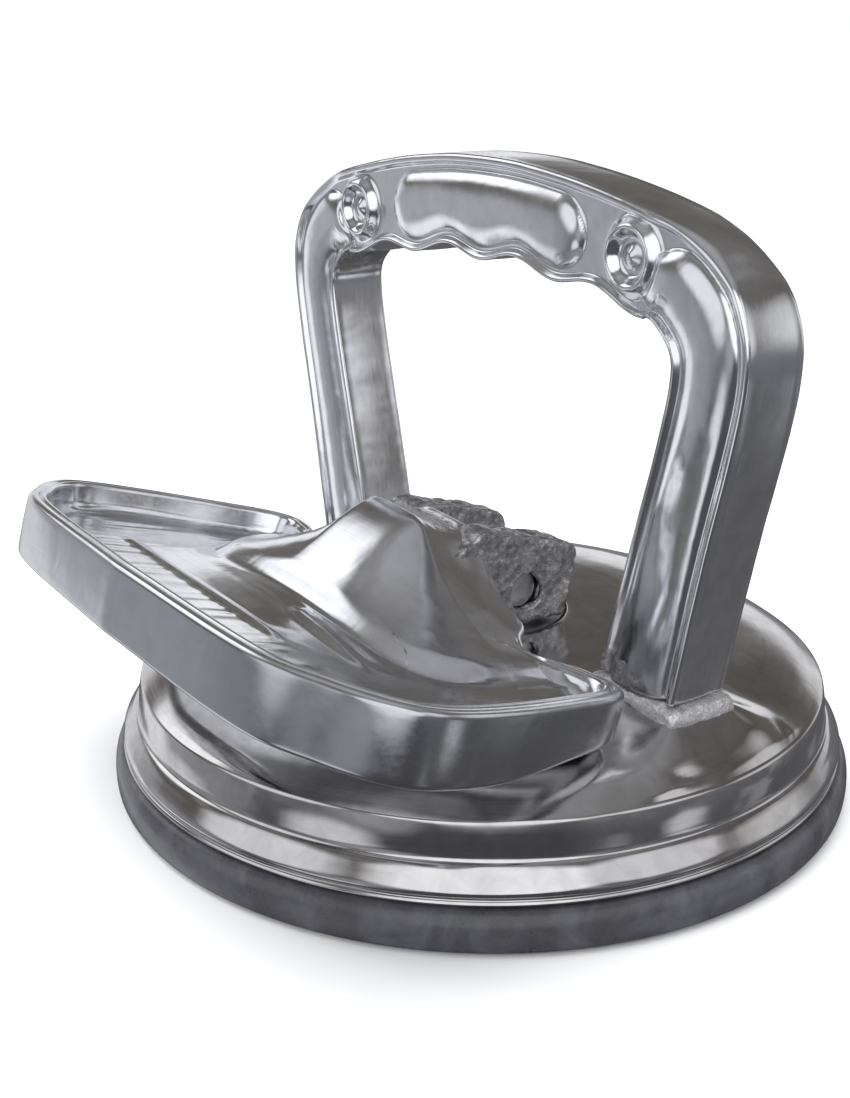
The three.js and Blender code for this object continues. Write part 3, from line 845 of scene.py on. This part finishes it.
def build_tray():
    """The tray as closed rings of points: underside, outer wall, rim, inner wall and floor."""
    half = 330
    n = 2 * half
    loop = tray_loop(half)
    core_x = np.linspace(-CORE_HALF, CORE_HALF, half + 1)
    core = stacked(np.concatenate([core_x, core_x[-2:0:-1]]), CORE_AT)
    step = inward_steps(loop, core)

    # walled is 1 where the outline carries a wall and 0 along the open rear edge
    rear = np.arange(n) > half
    walled = np.where(rear & (np.abs(loop[:, 0]) < 34.6), 0.0, 1.0)
    walled = np.clip(blur_loop(walled, 3.5), 0, 1)
    base = tray_floor(loop[:, 0], loop[:, 1], False)
    top = RIM * walled + base * (1 - walled)
    wall_foot = RIM - WALL_H + np.clip((34 - loop[:, 1]) / 34 * 4.2, 0, 4.2)
    r = np.hypot(*loop.T)
    clear = housing_top(r) + 0.6 - HINGE_Z - STEM_TRAVEL
    wall_foot = np.where(r < 54.6, np.maximum(wall_foot, clear), wall_foot)
    bottom = blur_loop(wall_foot, 4) * walled + (base - FLOOR_T) * (1 - walled)
    bottom = np.minimum(bottom, top - 2.0)
    rows = []

    def inset(d):
        return loop + step * d

    def put(p, z):
        rows.append(stacked(p[:, 0], -p[:, 1], z))

    def put_inside(d, z):
        """A ring at z where there is a wall, and on the floor where there is none."""
        p = inset(d)
        put(p, z * walled + tray_floor(*p.T) * (1 - walled))

    # underside, from the core out to the wall
    edge_under = inset(4.2)
    for t in np.linspace(0, 1, 24)[:-1]:
        p = core + (edge_under - core) * t
        put(p, tray_floor(*p.T, False) - FLOOR_T)
    for d in (4.2, 3.6, 3.0, 2.4, 1.6):
        p = inset(d)
        k = np.maximum(smooth(2.0, 4.4, d), 1 - walled)
        put(p, (tray_floor(*p.T, False) - FLOOR_T) * k + bottom * (1 - k))

    # outer wall, between its lower and its upper rounding
    low_r, top_r = 0.75, 0.95
    for a in np.linspace(0, math.pi / 2, 6):
        put(inset(low_r * (1 - math.sin(a))), bottom + low_r * (1 - math.cos(a)))
    for t in np.linspace(0, 1, 11)[1:-1]:
        low, high = bottom + low_r, top - top_r
        put(inset(-0.10 * math.sin(math.pi * t)), low + (high - low) * t)
    for a in np.linspace(0, math.pi / 2, 7):
        put(inset(top_r * (1 - math.cos(a))), top - top_r * (1 - math.sin(a)))

    # rim, inner wall and fillet
    for d, drop in RIM_PROFILE:
        put_inside(d, RIM + drop)
    rim_in, rim_drop = RIM_PROFILE[-1]
    wall_in, fillet = 3.4, 1.9
    deep = inset(wall_in + fillet)
    floor_in = tray_floor(*deep.T)
    wall_low = np.minimum(floor_in + fillet, RIM - 0.8)
    for t in np.linspace(0, 1, 9)[1:]:
        z = (RIM + rim_drop) * (1 - t) + wall_low * t
        put_inside(rim_in + (wall_in - rim_in) * t, z)
    for a in np.linspace(0, math.pi / 2, 8)[1:]:
        z = wall_low - (wall_low - floor_in) * math.sin(a)
        put_inside(wall_in + fillet * (1 - math.cos(a)), z)

    # floor; one ring follows the crest of the hump, so that it stays sharp
    before, after = 24, 36
    rear_to_crest = CREST_AT - deep[:, 1]
    rear_to_core = CORE_AT - np.minimum(deep[:, 1], CREST_AT)
    crest = np.clip(rear_to_crest / rear_to_core, 0.02, 0.7)
    crest = blur_loop(np.where(rear & (rear_to_crest > 0.4), crest, 0.3), 2)
    for k in range(1, before + after + 1):
        t = crest * k / before if k <= before else crest + (1 - crest) * (k - before) / after
        p = deep + (core - deep) * t[:, None]
        put(p, tray_floor(*p.T))

    faces = grid_faces(len(rows), n, wrap_columns=True)
    obj = mesh_from("lever_tray", rows, faces, ALUMINIUM_LEVER)
    slot = [(-SLOT_HALF, -9.5), (SLOT_HALF, -9.5), (SLOT_HALF, 20), (-SLOT_HALF, 20)]
    cut(obj, merged("slot_cutter", [prism(slot, -40, 40, 2)], STEEL))
    shade_smooth(obj)

    # left rough behind the crest
    x, y, z = coords(obj).T
    behind = smooth(10.5, 13.5, -y) * (1 - smooth(17.5, 19.8, -y)) * (z > RIM + 2)
    paint(obj, "raw", np.clip(behind * np.clip((9 - x) / 5, 0, 1), 0, 1))
    # painted shade: the outer wall, where it faces outward below the rim, gets a darker base
    # colour
    outward = stacked(x - np.clip(x, -CORE_HALF, CORE_HALF), y + CORE_AT)
    outward /= np.linalg.norm(outward, axis=1)[:, None] + 1e-9
    facing = (per_point(obj, "normal")[:, :2] * outward).sum(1)
    paint(obj, "painted_shade", smooth(0.7, 0.92, facing) * (z < RIM + 0.3))
    return obj


def build_ears():
    """The two ears with the cam faces, rough from the mould."""
    c, s = math.cos(TILT), math.sin(TILT)

    def level(y, z):
        return (y * c - z * s, y * s + z * c)

    heel, toe = level(7.5, -5.3), level(-8, -5.3)
    outline = [heel, (heel[0], EAR_TOP - 2.6), (heel[0] - 1.0, EAR_TOP - 0.4),
               (heel[0] - 4, EAR_TOP), (-11, EAR_TOP), (-13, 6), (-17, 3.4), (-17, 0), (-12, -3),
               (-8.5, -5.2), toe]
    ear = rounded(outline, [0.5, 1.0, 1.2, 1.5, 1.6, 1.5, 1.2, 1, 2, 2, 0.8], 4)
    bridge = [(-10.2, 5), (-10.2, EAR_TOP - 0.3), (-13, 6), (-17, 3.4), (-17, 1)]
    ears = merged("lever_ears", [
        prism(ear, EAR_IN, EAR_OUT, 0), prism(ear, -EAR_OUT, -EAR_IN, 0),
        prism(rounded(bridge, 0.8, 3), -8, 8, 0)], ALUMINIUM_RAW)
    melt(ears, 0.36, 4)
    roughen(ears, 0.30, 2.4, 5)
    cut(ears, merged("bore_cutter", [prism(circle(PIN_BORE_R, 40), -20, 20, 0)], STEEL))
    # the lock screw's hole leads from the pin out through the back of the right ear
    verts, faces = prism(circle(SCREW_BORE_R, 28, 9), 0, 20, 2)
    cut(ears, merged("screw_cutter", [([(x, z, -y) for x, y, z in verts], faces)], STEEL))
    shade_smooth(ears)
    paint(ears, "raw", np.ones(len(ears.data.vertices)))
    return ears


def to_rest(obj):
    """Takes a piece drawn level at the hinge to the released lever's place."""
    raised = Matrix.Translation((0, 0, HINGE_Z * MM))
    obj.data.transform(raised @ Matrix.Rotation(-TILT, 4, "X"))
    obj.data.update()
    return obj


# ---- spring ----
def build_spring():
    radius, wire = 13.0, 0.9
    low, high = 8.6 + wire, 21.0 - wire - 0.3
    coils, steps, around = 3.5, 168, 12
    b = turn(around)
    rows = []
    for t in np.arange(steps + 1) / steps:
        a = 2 * math.pi * coils * t
        out = radius + wire * np.cos(b)
        z = low + (high - low) * t + wire * np.sin(b)
        rows.append(stacked(math.cos(a) * out, math.sin(a) * out, z))
    faces = grid_faces(len(rows), around, wrap_columns=True) + end_caps(len(rows), around)
    return mesh_from("return_coil", rows, faces, STEEL)


# ---- the object ----
pad = build_pad()
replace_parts(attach(pad, "body"), "rubber_pad")
shell = build_housing()
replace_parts(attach(shell, "body"), "housing")
for direction in (-1, 1):
    land_piece = build_land(direction)
    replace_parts(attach(land_piece, "body"), "housing")
arch = build_handle()
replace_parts(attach(arch, "body"), "handle")
for builder in (build_tray, build_ears):
    piece = to_rest(builder())
    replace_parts(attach(piece, "cam_lever"), "lever")
coil = build_spring()
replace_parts(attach(coil, "body"), "return_spring")
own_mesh(coil)

LOOKS = {"guide_bush": BRONZE, "eye_washer_left": NYLON, "eye_washer_right": NYLON}
for node_name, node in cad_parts.items():
    if not node.hide_render:
        node.data.materials.clear()
        node.data.materials.append(LOOKS.get(node_name, STEEL))

# ---- floor ----
FLOOR_HALF = 30.0  # metres
FLOOR_Z = -0.0002  # metres, just clear of the pad
floor_material, grey, grey_shader = new_material("studio_floor")
spread = grey.noise(grey.place(), 3, 2.0, 0.5)
grey.set(grey_shader, "Base Color", grey.mix(spread, (0.88, 0.88, 0.88), (0.92, 0.92, 0.92)))
grey.set(grey_shader, "Roughness", 0.9)
corners = [(x * FLOOR_HALF, y * FLOOR_HALF, 0) for x, y in [(-1, -1), (1, -1), (1, 1), (-1, 1)]]
floor_mesh = bpy.data.meshes.new("studio_floor")
floor_mesh.from_pydata(corners, [], [(0, 1, 2, 3)])
floor = linked("studio_floor", floor_mesh, floor_material)
floor.location.z = FLOOR_Z
floor.visible_glossy = False

# ---- room: white to the camera, even light for dull surfaces, and a studio for reflections ----
world = bpy.data.worlds.new("studio")
bpy.context.scene.world = world
world.use_nodes = True
room = Nodes(world.node_tree)
toward = room.add("ShaderNodeTexCoord").outputs["Generated"]
up = room.add("ShaderNodeSeparateXYZ", inputs={"Vector": toward}).outputs[2]
sky = room.ramp(room.span(up, -1, 1, 0, 1), [
    (0.00, (0.07, 0.068, 0.065)), (0.33, (0.13, 0.13, 0.14)), (0.44, (0.19, 0.19, 0.21)),
    (0.50, (0.22, 0.22, 0.23)), (0.60, (0.16, 0.15, 0.14)), (0.75, (0.13, 0.12, 0.11)),
    (0.90, (0.18, 0.175, 0.17)), (1.0, (0.40, 0.40, 0.42)),
])
clutter = room.noise(room.scaled(toward, (1, 1, 0.7)), 3.4, 3.0, 0.55, 0.5)
sky = room.mix(room.span(clutter, 0.57, 0.66, 0.0, 0.28), sky, (0.70, 0.71, 0.74))
# a bright band on the horizon, straight behind the object
band = room.ramp(room.span(up, -0.2, 0.3, 0, 1), [
    (0.0, (0, 0, 0)), (0.31, (0, 0, 0)), (0.38, (1, 1, 1)), (0.73, (0.9, 0.9, 0.9)),
    (0.82, (0, 0, 0)),
])
behind = room.span(room.dot(toward, (-0.82, 0.57, 0)), 0.35, 0.8, 0.0, 1.0)
sky = room.mix(room.math("MULTIPLY", behind, band), sky, (1.0, 1.01, 1.04))
# soft-edged patches: direction, angles in degrees where it starts and ends fading, colour
for centre, solid, faded, colour in [
        ((0.72, -0.60, -0.30), 28, 42, (0.085, 0.085, 0.095)),
        ((-0.70, -0.68, -0.24), 10, 28, (0.34, 0.345, 0.37)),
        ((-0.86, -0.49, -0.10), 8, 15, (0.44, 0.445, 0.47)),
        ((-0.95, -0.22, -0.27), 10, 15, (1.0, 1.01, 1.05)),
        ((-0.69, -0.41, -0.59), 9, 19, (1.0, 1.01, 1.05)),
        ((-0.99, 0.02, -0.06), 8, 14, (0.90, 0.90, 0.94)),
        ((0.10, -0.87, -0.46), 9, 17, (0.85, 0.86, 0.9)),
        ((0.38, -0.92, -0.05), 7, 18, (0.40, 0.405, 0.44)),
        ((0.81, 0.47, -0.36), 4, 8, (0.75, 0.75, 0.78)),
        ((-0.78, -0.26, 0.55), 13, 19, (1.45, 1.46, 1.5)),
        ((0.70, -0.48, 0.44), 28, 35, (1.3, 1.31, 1.35)),
        ((-0.20, -0.90, 0.36), 18, 26, (0.95, 0.96, 1.0)),
        ((0.80, 0.30, 0.48), 16, 23, (0.9, 0.9, 0.94)),
        ((0.48, 0.86, 0.20), 8, 20, (0.75, 0.75, 0.76))]:
    cosine = room.dot(toward, tuple(Vector(centre).normalized()))
    edges = math.cos(math.radians(faded)), math.cos(math.radians(solid))
    sky = room.mix(room.span(cosine, *edges, 0.0, 1.0), sky, colour)


def background(colour, strength):
    return room.add("ShaderNodeBackground", inputs={"Color": colour, "Strength": strength})


def chosen(test, otherwise, then):
    """Shows one background to the rays that the test picks out, and another to the rest."""
    return room.add("ShaderNodeMixShader", inputs={0: rays.outputs[test], 1: otherwise, 2: then})


rays = room.add("ShaderNodeLightPath")
ambient = background((0.97, 0.98, 1.0, 1), 1.3)
surroundings = chosen("Is Diffuse Ray", background(sky, 1.0), ambient)
choice = chosen("Is Camera Ray", surroundings, background((1, 1, 1, 1), 1.0))
room.add("ShaderNodeOutputWorld", inputs={"Surface": choice})


# ---- lights ----
def softbox(name, location, width, height, power):
    """A rectangular lamp aimed at the middle of the object, in metres and watts."""
    light = bpy.data.lights.new(name, "AREA")
    light.shape = "RECTANGLE"
    light.size, light.size_y, light.energy = width, height, power
    obj = bpy.data.objects.new(name, light)
    obj.location = location
    obj.rotation_mode = "QUATERNION"
    aim = Vector((0, 0, 0.05)) - Vector(location)
    obj.rotation_quaternion = aim.to_track_quat("-Z", "Y")
    bpy.context.scene.collection.objects.link(obj)
    obj.visible_glossy = False


softbox("overhead", (-0.1, -0.1, 0.9), 0.8, 0.8, 5)
softbox("left_window", (-0.9, -0.5, 0.25), 0.35, 0.6, 4)
softbox("front_fill", (0.25, -0.95, 0.5), 0.3, 0.3, 2)

# ---- camera ----
camera_data = bpy.data.cameras.new("camera")
camera = bpy.data.objects.new("camera", camera_data)
bpy.context.scene.collection.objects.link(camera)
yaw, pitch, roll = math.radians(55.63), math.radians(19.45), math.radians(0.11)
level_right = Vector((math.cos(yaw), math.sin(yaw), 0))
back = Vector((
    math.sin(yaw) * math.cos(pitch), -math.cos(yaw) * math.cos(pitch), math.sin(pitch)))
level_up = back.cross(level_right)
right = level_right * math.cos(roll) + level_up * math.sin(roll)
upward = level_up * math.cos(roll) - level_right * math.sin(roll)
camera.rotation_mode = "QUATERNION"
camera.rotation_quaternion = Matrix((right, upward, back)).transposed().to_quaternion()
camera.location = (0.17756, -0.13226, 0.11349)
camera_data.lens = 48.515
camera_data.sensor_width = 36
camera_data.clip_start = 0.01
bpy.context.scene.camera = camera
bpy.context.scene.view_settings.view_transform = "Standard"
